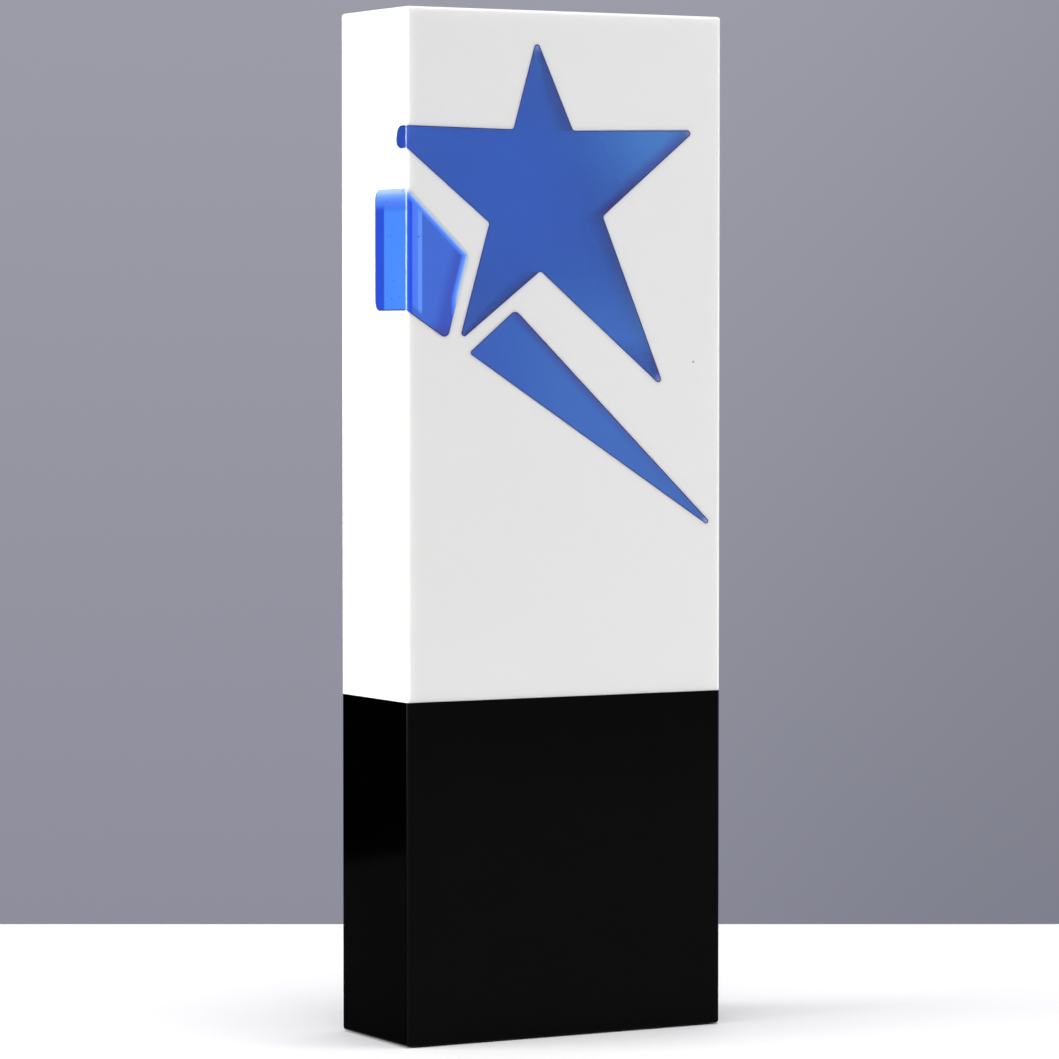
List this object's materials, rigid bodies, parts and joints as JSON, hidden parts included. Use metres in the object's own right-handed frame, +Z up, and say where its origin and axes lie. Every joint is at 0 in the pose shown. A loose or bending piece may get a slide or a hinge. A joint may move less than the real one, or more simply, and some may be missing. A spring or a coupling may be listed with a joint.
{
  "type": "star trophy",
  "caption": "Upright white block trophy with a flush translucent blue star and streaks, screwed onto a gloss black block base.",
  "frame": {"origin": "middle of the underside of the base pad, on the surface that the trophy stands on", "axes": "+Z up along the trophy's height, star face towards -Y, +X to the right of someone looking at the star face"},
  "size_m": [0.105, 0.042, 0.3],
  "materials": {
    "white_resin": "opaque white cast resin, satin polish",
    "blue_resin": "translucent royal blue cast resin, polished flush",
    "black_resin": "black cast resin, gloss",
    "pad_felt": "black pressed felt",
    "insert_brass": "turned brass",
    "screw_steel": "zinc plated steel",
    "dowel_steel": "ground steel"
  },
  "bodies": {
    "root": {"white_block": "white_resin", "star_inlay": "blue_resin", "side_streak_inlay": "blue_resin", "tail_streak_inlay": "blue_resin", "black_base": "black_resin", "base_pad": "pad_felt", "insert_left": "insert_brass", "insert_right": "insert_brass", "screw_left": "screw_steel", "screw_right": "screw_steel", "washer_left": "screw_steel", "washer_right": "screw_steel", "dowel_left": "dowel_steel", "dowel_right": "dowel_steel"}
  },
  "joints": []
}
